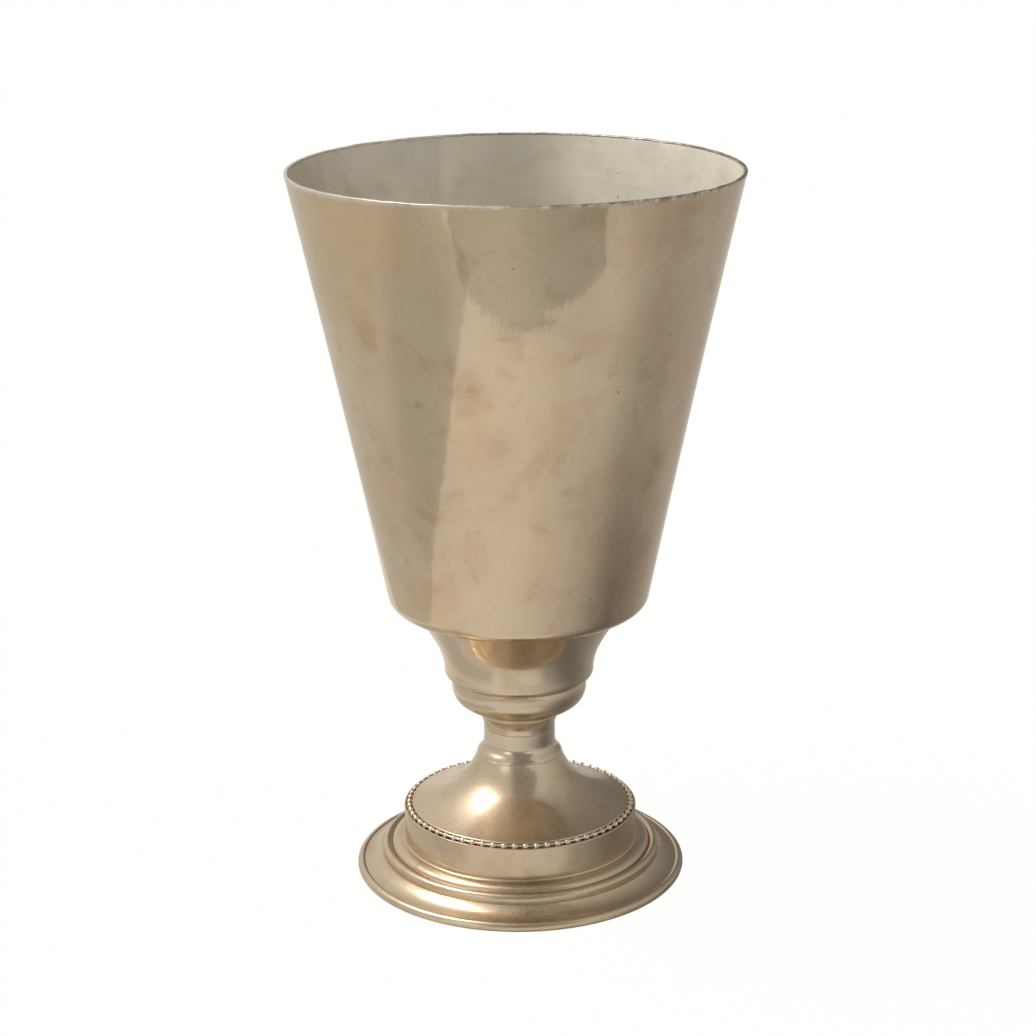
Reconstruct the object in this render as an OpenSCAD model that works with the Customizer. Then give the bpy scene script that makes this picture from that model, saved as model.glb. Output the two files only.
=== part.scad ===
// Communion chalice: a tapered, lined bowl on a turned and spun stand.
// The stand is a stack of loose rings and shells. One stud, fixed under the
// bowl, runs down through the stack and is drawn tight by a nut inside the
// hollow foot. Millimetres, +Z up, origin at the centre of the foot's underside.

/* [Overall] */
// Height from the table to the lip
total_h = 200; // [180:1:225]
// Outside diameter of the lip
rim_d = 122.4; // [110:0.2:134]
// Outside diameter of the foot over its rolled edge
foot_d = 93; // [90:0.2:100]

/* [Bowl] */
// Height of the flat underside of the bowl above the table
bowl_z = 78.4; // [78:0.1:80]
// Outside diameter of the bowl where its wall meets the bottom corner
bowl_base_d = 72.6; // [68:0.2:80]
// Outside radius of the bottom corner
bowl_corner = 4.6; // [4:0.1:8]
// Hollow of the wall between corner and lip, as a share of its flare
bowl_bow = 0.055; // [0:0.005:0.12]
// Thickness of the spun outer shell
shell_t = 0.62; // [0.5:0.02:0.9]
// Thickness of the lining
liner_t = 0.4; // [0.3:0.02:0.6]

/* [Calyx and neck] */
// Diameter of the calyx over its top edge
calyx_d = 59; // [54:0.5:62]
// Diameter of the calyx over its rounded waist
calyx_waist_d = 41.8; // [38:0.2:46]
// Height of the joint between the two calyx shells
calyx_joint_z = 57.2; // [56:0.1:58.5]
// Diameter of the neck
neck_d = 20; // [18.4:0.2:22]
// Height of the shoulder where the neck meets the flared stem
shoulder_z = 34.5; // [33.8:0.1:36]

/* [Foot] */
// Diameter of the drum
drum_d = 65.8; // [64:0.2:68]
// Height of the ledge on the drum that the dome stands on
drum_top = 17.4; // [17.2:0.1:19]
// Number of pearls in the beaded wire
pearls = 66; // [58:1:70]
// Radius of one pearl
pearl_r = 0.82; // [0.7:0.02:0.9]
// Thickness of the spun flange
flange_t = 0.7; // [0.6:0.05:0.8]
// Outside radius of the rolled edge
roll_r = 1.35; // [1.2:0.05:1.4]

/* [Fastening] */
// Diameter of the stud, drawn as a plain rod over its thread
stud_d = 7.9; // [7:0.1:8]
// Bore of the nut, drawn as a plain hole over its thread
nut_bore_d = 8; // [8:0.02:8.1]
// Width of the hexagon nut across its flats
nut_af = 13; // [12:0.5:14]
// Height of the nut
nut_h = 6.5; // [6:0.1:7]
// Hole that clears the stud in every ring of the stack
clear_d = 8.8; // [8.6:0.1:9.2]

/* [Hidden] */
$fn = 96;

// Colours of the metals and of the fibre washer
nickel = [0.78, 0.69, 0.56];
tin    = [0.78, 0.76, 0.70];
brass  = [0.74, 0.60, 0.36];
steel  = [0.60, 0.60, 0.62];
fibre  = [0.46, 0.22, 0.14];

rim_r    = rim_d / 2;
foot_r   = foot_d / 2;
base_r   = bowl_base_d / 2;
drum_r   = drum_d / 2;
neck_r   = neck_d / 2;
clear_r  = clear_d / 2;
waist_r  = calyx_waist_d / 2;
eps      = 0.03;                   // film of solder between two fitted sheets

// ---------------------------------------------------------------- curves
// Points along an arc about c, from angle a0 to a1 in n steps
function arc(c, r, a0, a1, n) =
    [for (i = [0 : n]) let (a = a0 + (a1 - a0) * i / n)
        [c[0] + r * cos(a), c[1] + r * sin(a)]];

// Points along a cubic curve with its two ends a and d and its handles b and c
function curve(a, b, c, d, n) =
    [for (i = [0 : n]) let (t = i / n, s = 1 - t)
        s*s*s * a + 3*s*s*t * b + 3*s*t*t * c + t*t*t * d];

function unit(v) = v / norm(v);
function last(p) = p[len(p) - 1];
function flip(p) = [for (i = [len(p) - 1 : -1 : 0]) p[i]];

// The curve moved sideways by t, to the left of its direction of travel
function beside(p, t) =
    [for (i = [0 : len(p) - 1])
        let (u = unit(p[min(i + 1, len(p) - 1)] - p[max(i - 1, 0)]))
        p[i] + t * [-u[1], u[0]]];

// A body of revolution from its half section
module turned(section) rotate_extrude($fn = 96) polygon(section);

// ------------------------------------------------------------------ bowl
// Lean of the wall where it leaves the corner
lean   = atan((rim_r - base_r) / (total_h - bowl_z - bowl_corner) * (1 - bowl_bow));
wall_z = bowl_z + bowl_corner * (1 - sin(lean));
corner = [base_r - bowl_corner * cos(lean), bowl_z + bowl_corner];

function wall_r(s) = base_r + (rim_r - base_r) * (s - bowl_bow * s * (1 - s));
function bowl_wall(n) =
    [for (i = [1 : n]) let (s = i / n) [wall_r(s), wall_z + (total_h - wall_z) * s]];

// Outside of the bowl from the axis out over the corner and up to the lip
bowl_out = concat(arc(corner, bowl_corner, -90, -lean, 12), bowl_wall(22));

// The part of a curve that lies below a height, closed at that height
function below(p, z) =
    let (k = len([for (q = p) if (q[1] < z - 0.01) q]),
         a = p[k - 1], b = p[min(k, len(p) - 1)],
         f = b[1] == a[1] ? 0 : (z - a[1]) / (b[1] - a[1]))
    concat([for (i = [0 : k - 1]) p[i]], [a + f * (b - a)]);

lip_t   = 0.5;                     // height of the shell's rounded lip over the lining
shell_in = below(beside(bowl_out, shell_t), total_h - lip_t);
shell_up = below(bowl_out, total_h - 0.35);
liner_out = below(beside(bowl_out, shell_t + eps), total_h - lip_t - eps);
liner_in  = below(beside(bowl_out, shell_t + eps + liner_t), total_h - lip_t - eps);
lip_r   = last(liner_in)[0];       // inside radius of the lip

module bowl_shell() color(nickel)
    turned(concat([[0, bowl_z]], shell_up,
                  [[rim_r - 0.01, total_h - 0.2], [rim_r - 0.12, total_h - 0.05],
                   [rim_r - 0.35, total_h], [lip_r + 0.35, total_h],
                   [lip_r + 0.12, total_h - 0.05], [lip_r + 0.01, total_h - 0.2],
                   [lip_r, total_h - lip_t]],
                  flip(shell_in), [[0, bowl_z + shell_t]]));

module bowl_liner() color(tin)
    turned(concat([[0, bowl_z + shell_t + eps]], liner_out, flip(liner_in),
                  [[0, bowl_z + shell_t + eps + liner_t]]));

// Turned boss soldered under the bowl, which holds the top of the stud
boss_h = 8.2;
module bowl_boss() color(brass) difference() {
    turned([[0, bowl_z], [15.5, bowl_z], [16, bowl_z - 0.5], [16, bowl_z - 2],
            [15.5, bowl_z - 2.5], [10, bowl_z - 2.5], [9, bowl_z - 3.5],
            [9, bowl_z - boss_h + 0.6], [8.4, bowl_z - boss_h], [0, bowl_z - boss_h]]);
    translate([0, 0, bowl_z - boss_h - 1])
        cylinder(h = boss_h - 0.2, r = stud_d / 2 + 0.02);
}

stud_top = bowl_z - 1.4;
stud_end = 2.4;
module tie_stud() color(steel)
    turned([[0, stud_end], [stud_d / 2 - 0.7, stud_end], [stud_d / 2, stud_end + 0.7],
            [stud_d / 2, stud_top - 0.7], [stud_d / 2 - 0.7, stud_top], [0, stud_top]]);

// ----------------------------------------------------------------- calyx
seat_t  = 0.4;
calyx_z = bowl_z - seat_t;         // top face of the calyx
calyx_t = 0.8;
module seat_washer() color(fibre) difference() {
    translate([0, 0, calyx_z]) cylinder(h = seat_t, r = calyx_d / 2 - 0.6);
    translate([0, 0, calyx_z - 1]) cylinder(h = seat_t + 2, r = calyx_d / 2 - 3.6);
}

// Rounded waist, then a hollow flare up to the seat
rise = curve([waist_r, calyx_joint_z + 3.0], [waist_r + 0.25, calyx_joint_z + 8.2],
             [waist_r + 2.9, calyx_joint_z + 12.6], [calyx_d / 2 - 0.1, calyx_z - 0.25], 20);
upper_out = concat(arc([waist_r - 2.6, calyx_joint_z + 2.6], 2.6, -78, -8, 8), rise,
                   [[calyx_d / 2 - 0.2, calyx_z]]);
upper_wall = beside(rise, calyx_t);
module calyx_upper() color(nickel)
    turned(concat([[clear_r, calyx_joint_z], [waist_r - 2.3, calyx_joint_z]], upper_out,
                  [[calyx_d / 2 - 3.6, calyx_z], [calyx_d / 2 - 3.6, calyx_z - 0.8]],
                  flip([for (q = upper_wall) if (q[1] < calyx_z - 1.6) q]),
                  [[waist_r - 1.1, calyx_joint_z + 2.2], [waist_r - 2.0, calyx_joint_z + calyx_t + 0.2],
                   [waist_r - 2.7, calyx_joint_z + calyx_t], [clear_r, calyx_joint_z + calyx_t]]));

// Rounded lower shell between the joint and the collar
lower_z  = calyx_joint_z - 9.0;
lower_out = concat([[neck_r + 2.0, lower_z]],
                   curve([neck_r + 2.6, lower_z + 0.05], [waist_r - 2.1, lower_z + 1.3],
                         [waist_r - 1.6, lower_z + 5.6], [waist_r - 2.25, calyx_joint_z - 0.1], 16),
                   [[waist_r - 2.4, calyx_joint_z]]);
lower_in = beside(curve([neck_r + 2.6, lower_z + 0.05], [waist_r - 2.1, lower_z + 1.3],
                        [waist_r - 1.6, lower_z + 5.6], [waist_r - 2.25, calyx_joint_z - 0.1], 16),
                  calyx_t);
module calyx_lower() color(nickel)
    turned(concat([[6.53, lower_z]], lower_out,
                  [[waist_r - 2.4 - calyx_t, calyx_joint_z]],
                  flip([for (q = lower_in) if (q[1] > lower_z + calyx_t && q[1] < calyx_joint_z - 0.2) q]),
                  [[6.53, lower_z + calyx_t]]));

// Solid ring: a hollow taper under a fine bead, spigoted into the shell
collar_z = lower_z - 6.0;
bead_z   = lower_z - 1.55;
module calyx_collar() color(nickel) difference() {
    turned(concat([[clear_r, collar_z], [neck_r, collar_z]],
                  curve([neck_r, collar_z + 0.3], [neck_r + 0.05, collar_z + 1.9],
                        [neck_r + 0.5, collar_z + 2.8], [neck_r + 1.1, bead_z - 0.4], 8),
                  arc([neck_r + 0.98, bead_z], 0.4, -50, 50, 5),
                  [[neck_r + 1.25, bead_z + 0.55], [neck_r + 1.65, lower_z - 0.55],
                   [neck_r + 1.95, lower_z - 0.2], [neck_r + 1.95, lower_z],
                   [6.5, lower_z], [6.5, lower_z + 1.1], [6.2, lower_z + 1.4],
                   [clear_r, lower_z + 1.4]]));
    translate([0, 0, collar_z - 1]) cylinder(h = 2.7, r = 7.53);
}

// Tube with a spread shoulder at its foot, spigoted at both ends
module neck_tube() color(nickel)
    turned(concat([[6, shoulder_z - 1.8], [7.2, shoulder_z - 1.8], [7.5, shoulder_z - 1.5],
                   [7.5, shoulder_z], [neck_r + 1.9, shoulder_z]],
                  curve([neck_r + 1.94, shoulder_z + 0.15], [neck_r + 1.8, shoulder_z + 0.85],
                        [neck_r + 0.8, shoulder_z + 1.0], [neck_r + 0.35, shoulder_z + 1.5], 7),
                  curve([neck_r + 0.22, shoulder_z + 1.75], [neck_r + 0.06, shoulder_z + 2.2],
                        [neck_r, shoulder_z + 2.9], [neck_r, shoulder_z + 3.8], 4),
                  [[neck_r, collar_z]],
                  [[7.5, collar_z], [7.5, collar_z + 1.3], [7.2, collar_z + 1.6], [6, collar_z + 1.6]]));

// ------------------------------------------------------------ flared stem
skirt_r = drum_r - 0.54 - 2 * pearl_r;
flare_t = 0.8;
flare = curve([neck_r + 2.03, shoulder_z - 0.4], [neck_r + 3.8, shoulder_z - 6.0],
              [18.2, drum_top + 6.3], [skirt_r - 0.45, drum_top + 2.15], 30);
flare_under = beside(flare, -flare_t);
module stem_flare() color(nickel)
    turned(concat([[7.53, shoulder_z], [neck_r + 1.88, shoulder_z],
                   [neck_r + 1.98, shoulder_z - 0.1]], flare,
                  arc([skirt_r - 0.5, drum_top + 1.65], 0.5, 70, 0, 6),
                  [[skirt_r, drum_top], [skirt_r - flare_t, drum_top]],
                  flip([for (q = flare_under)
                      if (q[1] < shoulder_z - 1.4 && q[0] < skirt_r - flare_t - 0.3) q]),
                  [[10.4, shoulder_z - 0.9], [7.53, shoulder_z - 0.9]]));

// ------------------------------------------------------------------ foot
// Pearls on a fine wire, in the corner between the dome and the drum
shelf_h = 0.7;                     // step up from the dome's ledge to the pearls' shelf
pearl_c = drum_r - 0.52 - pearl_r;
pearl_z = drum_top + shelf_h + 0.02 + pearl_r;
module beaded_wire() color(nickel) {
    translate([0, 0, pearl_z]) rotate_extrude($fn = 96)
        translate([pearl_c, 0]) circle(r = 0.5, $fn = 32);
    for (i = [0 : pearls - 1]) rotate(360 * i / pearls)
        translate([pearl_c, 0, pearl_z]) sphere(r = pearl_r, $fn = 32);
}

step_z   = 9.4;                    // underside of the drum
drum_t   = 0.9;
lip_h    = 1.1;                    // low lip that keeps the pearls in
module foot_drum() color(nickel)
    turned([[drum_r - drum_t, step_z], [drum_r, step_z], [drum_r, drum_top + lip_h - 0.15],
            [drum_r - 0.12, drum_top + lip_h], [drum_r - 0.38, drum_top + lip_h],
            [drum_r - 0.5, drum_top + lip_h - 0.15], [drum_r - 0.5, drum_top + shelf_h],
            [skirt_r + eps, drum_top + shelf_h], [skirt_r + eps, drum_top],
            [drum_r - 4.8, drum_top], [drum_r - 4.8, drum_top - 0.8],
            [drum_r - drum_t - 0.3, drum_top - 0.8], [drum_r - drum_t, drum_top - 1.1]]);

// Upper step: a small hollow fillet, then a full round that falls to the nosing
tread_z = 8.9;
nose_r  = drum_r + 3.8;
ring_z  = 7.0;
module foot_step_upper() color(nickel)
    turned(concat([[drum_r - 3.8, ring_z]],
                  flip(curve([drum_r + 0.5, tread_z], [drum_r + 2.4, tread_z - 0.02],
                             [nose_r - 0.25, tread_z - 0.55], [nose_r, ring_z], 12)),
                  arc([drum_r + 0.5, step_z], 0.5, -105, -180, 5),
                  [[drum_r - 3.8, step_z]]));

// Lower step: a quarter-round moulding over a short upright face
torus_r = 1.35;
torus_c = [drum_r + 5.1, 6.3];
module foot_step_lower() color(nickel)
    turned(concat([[drum_r + 0.2, under_z], [torus_c[0] + torus_r, under_z]],
                  arc(torus_c, torus_r, 0, 118, 10),
                  [[nose_r + 0.08, ring_z + 0.1], [nose_r + 0.02, ring_z], [drum_r + 0.2, ring_z]]));

// Spun flange with a hollow slope and an edge rolled round a wire
under_z = torus_c[1] - torus_r;
roll_c  = [foot_r - roll_r, roll_r - 0.08];
slope = curve([torus_c[0] + torus_r, under_z], [torus_c[0] + torus_r + 1.2, under_z - 1.25],
              [roll_c[0] - 3.2, roll_c[1] + 1.1], [roll_c[0] - 0.95, roll_c[1] + 0.92], 12);
slope_under = beside(slope, -flange_t);
module foot_flange() color(nickel) difference() {
    turned(concat([[drum_r + 0.2, under_z]], slope,
                  arc(roll_c, roll_r, 128, -150, 30),
                  arc(roll_c, roll_r - flange_t, -150, 96, 26),
                  flip([for (q = slope_under) if (q[0] < roll_c[0] - 1.15 && q[1] < under_z - flange_t) q]),
                  [[torus_c[0] + 0.95, under_z - flange_t], [drum_r + 0.2, under_z - flange_t]]));
    translate([0, 0, -5]) cylinder(h = 5, r = foot_r + 5);
}

module foot_edge_wire() color(brass)
    translate([0, 0, roll_c[1]]) rotate_extrude($fn = 96)
        translate([roll_c[0], 0]) circle(r = roll_r - flange_t - eps, $fn = 32);

// ------------------------------------------------------------- fastening
// Dished plate that carries the nut's pull out to the upper step
plate_t = 1.2;
plate_z = 15;                      // seat of the washers, under the plate
plate_r = drum_r - 0.2;
module clamp_plate() color(brass)
    turned([[clear_r, plate_z], [12, plate_z], [13, plate_z - 0.5], [22.6, ring_z - plate_t + 0.6],
            [24, ring_z - plate_t], [plate_r, ring_z - plate_t], [plate_r, ring_z],
            [24.4, ring_z], [23.4, ring_z + 0.5], [13.8, plate_z + plate_t - 0.6],
            [12.5, plate_z + plate_t], [clear_r, plate_z + plate_t]]);

washer_t = 1.6;
module flat_washer() color(steel) difference() {
    translate([0, 0, plate_z - washer_t]) cylinder(h = washer_t, r = 8);
    translate([0, 0, plate_z - washer_t - 1]) cylinder(h = washer_t + 2, r = 4.2);
}

// Split ring, flattened, with its gap cut on the slant
spring_t = 2;
module spring_washer() color(steel) difference() {
    translate([0, 0, plate_z - washer_t - spring_t]) cylinder(h = spring_t, r = 7.2);
    translate([0, 0, plate_z - washer_t - spring_t - 1]) cylinder(h = spring_t + 2, r = 4.15);
    translate([5.6, 0, plate_z - washer_t - spring_t / 2])
        rotate([20, 0, 0]) cube([6, 0.9, spring_t * 2], center = true);
}

// Hexagon nut with its corners chamfered on both faces
nut_z = plate_z - washer_t - spring_t - nut_h;
module clamp_nut() color(steel) difference() {
    intersection() {
        translate([0, 0, nut_z]) cylinder(h = nut_h, r = nut_af / 2 / cos(30), $fn = 6);
        turned([[0, nut_z], [nut_af / 2 - 0.2, nut_z], [nut_af / 2 + 1.3, nut_z + 0.85],
                [nut_af / 2 + 1.3, nut_z + nut_h - 0.85], [nut_af / 2 - 0.2, nut_z + nut_h],
                [0, nut_z + nut_h]]);
    }
    translate([0, 0, nut_z - 1]) cylinder(h = nut_h + 2, r = nut_bore_d / 2);
}

bowl_shell();
bowl_liner();
bowl_boss();
tie_stud();
seat_washer();
calyx_upper();
calyx_lower();
calyx_collar();
neck_tube();
stem_flare();
beaded_wire();
foot_drum();
foot_step_upper();
foot_step_lower();
foot_flange();
foot_edge_wire();
clamp_plate();
flat_washer();
spring_washer();
clamp_nut();
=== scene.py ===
import math

import bpy
from mathutils import Matrix, Vector, noise


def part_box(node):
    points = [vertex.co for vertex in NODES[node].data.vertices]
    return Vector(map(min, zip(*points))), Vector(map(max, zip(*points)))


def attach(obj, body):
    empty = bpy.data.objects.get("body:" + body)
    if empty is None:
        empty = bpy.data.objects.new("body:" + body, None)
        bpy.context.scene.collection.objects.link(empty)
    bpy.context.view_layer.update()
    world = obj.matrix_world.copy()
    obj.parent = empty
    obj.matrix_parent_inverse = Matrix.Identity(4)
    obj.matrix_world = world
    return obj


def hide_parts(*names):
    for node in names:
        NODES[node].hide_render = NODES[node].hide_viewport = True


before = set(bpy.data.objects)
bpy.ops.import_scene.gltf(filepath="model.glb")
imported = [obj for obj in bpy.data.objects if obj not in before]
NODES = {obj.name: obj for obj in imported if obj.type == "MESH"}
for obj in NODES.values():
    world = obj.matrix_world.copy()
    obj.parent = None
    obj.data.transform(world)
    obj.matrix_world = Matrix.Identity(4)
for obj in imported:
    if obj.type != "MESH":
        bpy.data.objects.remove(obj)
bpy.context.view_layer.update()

SEG = 288                       # segments round a turned piece
MM = 0.001


# ------------------------------------------------------------ 2-D profiles
def arc(c, r, a0, a1, n):
    return [(c[0] + r * math.cos(math.radians(a0 + (a1 - a0) * i / n)),
             c[1] + r * math.sin(math.radians(a0 + (a1 - a0) * i / n))) for i in range(n + 1)]


def curve(a, b, c, d, n):
    out = []
    for i in range(n + 1):
        t = i / n
        s = 1 - t
        out.append(tuple(s**3 * a[k] + 3*s*s*t * b[k] + 3*s*t*t * c[k] + t**3 * d[k] for k in (0, 1)))
    return out


def beside(p, t):
    out = []
    for i in range(len(p)):
        a, b = p[max(i - 1, 0)], p[min(i + 1, len(p) - 1)]
        ux, uy = b[0] - a[0], b[1] - a[1]
        n = math.hypot(ux, uy) or 1.0
        out.append((p[i][0] - t * uy / n, p[i][1] + t * ux / n))
    return out


def below(p, z):
    k = len([q for q in p if q[1] < z - 0.01])
    a, b = p[k - 1], p[min(k, len(p) - 1)]
    f = 0 if b[1] == a[1] else (z - a[1]) / (b[1] - a[1])
    return p[:k] + [(a[0] + f * (b[0] - a[0]), a[1] + f * (b[1] - a[1]))]


def flip(p):
    return list(reversed(p))


def tidy(p, closed):
    out = []
    for q in p:
        if not out or math.hypot(q[0] - out[-1][0], q[1] - out[-1][1]) > 1e-4:
            out.append(q)
    if closed and math.hypot(out[0][0] - out[-1][0], out[0][1] - out[-1][1]) < 1e-4:
        out.pop()
    return out


def soften(p, rr, closed, angle=24.0, n=5):
    """Rounds the profile's corners with small arcs, so that each edge catches the light as a real one does."""
    m = len(p)
    out = []
    for i in range(m):
        if not closed and i in (0, m - 1):
            out.append(p[i])
            continue
        a, b, c = Vector(p[i - 1]), Vector(p[i]), Vector(p[(i + 1) % m])
        u, v = a - b, c - b
        lu, lv = u.length, v.length
        if b.x < 1e-6 or lu < 1e-6 or lv < 1e-6:
            out.append(p[i])
            continue
        turn = 180 - math.degrees(u.angle(v))
        if turn < angle:
            out.append(p[i])
            continue
        d = min(rr * math.tan(math.radians(turn / 2)), lu * 0.45, lv * 0.45)
        s, e = b + u * (d / lu), b + v * (d / lv)
        for k in range(n + 1):
            t = k / n
            q = (1 - t)**2 * s + 2 * t * (1 - t) * b + t * t * e
            out.append((q.x, q.y))
    return out


def refine(p, step, closed):
    """Adds points so that no segment of the profile is longer than step."""
    out = []
    m = len(p)
    for i in range(m if closed else m - 1):
        a, b = p[i], p[(i + 1) % m]
        k = max(1, int(math.ceil(math.hypot(b[0] - a[0], b[1] - a[1]) / step)))
        for j in range(k):
            out.append((a[0] + (b[0] - a[0]) * j / k, a[1] + (b[1] - a[1]) * j / k))
    if not closed:
        out.append(p[-1])
    return out


# --------------------------------------------------------------- builders
def mesh_object(name, verts, faces, smooth=True):
    me = bpy.data.meshes.new(name)
    me.from_pydata([(v[0] * MM, v[1] * MM, v[2] * MM) for v in verts], [], faces)
    me.validate()
    me.update()
    if smooth:
        me.shade_smooth()
    ob = bpy.data.objects.new(name, me)
    bpy.context.scene.collection.objects.link(ob)
    return ob


def lathe(name, p, closed=True, seg=SEG, warp=None, smooth=True):
    """Turns a half section (r, z in mm, anticlockwise seen with r to the right) into a closed skin."""
    p = tidy(p, closed)
    verts, rings = [], []
    for (r, z) in p:
        if r < 1e-6:
            rings.append([len(verts)])
            verts.append((0.0, 0.0, z))
            continue
        ring = []
        for j in range(seg):
            t = 2 * math.pi * j / seg
            rr, zz = (r, z) if warp is None else warp(r, z, t)
            ring.append(len(verts))
            verts.append((rr * math.cos(t), rr * math.sin(t), zz))
        rings.append(ring)
    faces = []
    m = len(rings)
    for i in range(m if closed else m - 1):
        a, b = rings[i], rings[(i + 1) % m]
        if len(a) == 1 and len(b) == 1:
            continue
        for j in range(seg):
            k = (j + 1) % seg
            if len(a) == 1:
                faces.append((a[0], b[k], b[j]))
            elif len(b) == 1:
                faces.append((a[j], a[k], b[0]))
            else:
                faces.append((a[j], a[k], b[k], b[j]))
    return mesh_object(name, verts, faces, smooth)


def put(ob, body, mat, slot, *nodes):
    ob.data.materials.clear()
    ob.data.materials.append(mat)
    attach(ob, body)
    if nodes:
        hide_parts(*nodes)
    return ob


def swell(x, y, z, scale, depth=3):
    """Smooth noise, about -1 to 1; the place is in mm and scale is the size of a feature in mm."""
    v = Vector((x / scale, y / scale, z / scale))
    return noise.fractal(v, 1.0, 2.0, depth)


# ------------------------------------------------------------- node helper
class Tree:
    """Short names for the shader nodes used below."""

    def __init__(self, tree):
        self.t = tree
        self.n = tree.nodes
        self.l = tree.links

    def node(self, kind, **kw):
        nd = self.n.new(kind)
        for k, v in kw.items():
            setattr(nd, k, v)
        return nd

    def put(self, socket, value):
        if isinstance(value, bpy.types.NodeSocket):
            self.l.new(value, socket)
        elif value is not None:
            if socket.type == "RGBA" and hasattr(value, "__len__") and len(value) == 3:
                value = (*value, 1.0)
            socket.default_value = value

    def math(self, op, a, b=None, c=None, clamp=False):
        nd = self.node("ShaderNodeMath", operation=op, use_clamp=clamp)
        for s, v in zip(nd.inputs, (a, b, c)):
            self.put(s, v)
        return nd.outputs[0]

    def vec(self, op, a, b=None, scale=None):
        nd = self.node("ShaderNodeVectorMath", operation=op)
        self.put(nd.inputs[0], a)
        if b is not None:
            self.put(nd.inputs[1], b)
        if scale is not None:
            self.put(nd.inputs["Scale"], scale)
        return nd.outputs["Value"] if op in ("LENGTH", "DOT_PRODUCT", "DISTANCE") else nd.outputs["Vector"]

    def comb(self, x, y, z):
        nd = self.node("ShaderNodeCombineXYZ")
        for s, v in zip(nd.inputs, (x, y, z)):
            self.put(s, v)
        return nd.outputs[0]

    def sep(self, v):
        nd = self.node("ShaderNodeSeparateXYZ")
        self.put(nd.inputs[0], v)
        return nd.outputs

    def noise(self, vector, scale, detail=2.0, rough=0.5, distort=0.0):
        nd = self.node("ShaderNodeTexNoise")
        self.put(nd.inputs["Vector"], vector)
        nd.inputs["Scale"].default_value = scale
        nd.inputs["Detail"].default_value = detail
        nd.inputs["Roughness"].default_value = rough
        nd.inputs["Distortion"].default_value = distort
        return nd.outputs["Fac"]

    def voronoi(self, vector, scale, feature="F1"):
        nd = self.node("ShaderNodeTexVoronoi", feature=feature)
        self.put(nd.inputs["Vector"], vector)
        nd.inputs["Scale"].default_value = scale
        return nd

    def step(self, value, lo, hi, a=0.0, b=1.0):
        nd = self.node("ShaderNodeMapRange", interpolation_type="SMOOTHSTEP")
        self.put(nd.inputs["Value"], value)
        for s, v in zip(("From Min", "From Max", "To Min", "To Max"), (lo, hi, a, b)):
            self.put(nd.inputs[s], v)
        return nd.outputs["Result"]

    def mix(self, fac, a, b, blend="MIX"):
        nd = self.node("ShaderNodeMix", data_type="RGBA", blend_type=blend)
        nd.clamp_factor = True
        self.put(nd.inputs["Factor"], fac)
        self.put(nd.inputs[6], a)
        self.put(nd.inputs[7], b)
        return nd.outputs[2]

    def mixf(self, fac, a, b):
        nd = self.node("ShaderNodeMix", data_type="FLOAT")
        self.put(nd.inputs[0], fac)
        self.put(nd.inputs[2], a)
        self.put(nd.inputs[3], b)
        return nd.outputs[0]

    def bump(self, height, distance, strength=1.0, normal=None):
        nd = self.node("ShaderNodeBump")
        self.put(nd.inputs["Height"], height)
        nd.inputs["Distance"].default_value = distance
        nd.inputs["Strength"].default_value = strength
        if normal is not None:
            self.put(nd.inputs["Normal"], normal)
        return nd.outputs[0]


def new_material(name):
    m = bpy.data.materials.new(name)
    m.use_nodes = True
    t = Tree(m.node_tree)
    bsdf = m.node_tree.nodes["Principled BSDF"]
    return m, t, bsdf


def place(t):
    """Object coordinates in metres, and the parts used for turned work."""
    co = t.node("ShaderNodeTexCoord").outputs["Object"]
    x, y, z = t.sep(co)
    r = t.math("SQRT", t.math("ADD", t.math("MULTIPLY", x, x), t.math("MULTIPLY", y, y)))
    rs = t.math("MAXIMUM", r, 0.0004)
    cx, cy = t.math("DIVIDE", x, rs), t.math("DIVIDE", y, rs)
    # a place along the profile: it runs on through both upright and level faces
    s = t.math("ADD", z, r)
    return co, x, y, z, r, s, cx, cy


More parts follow.
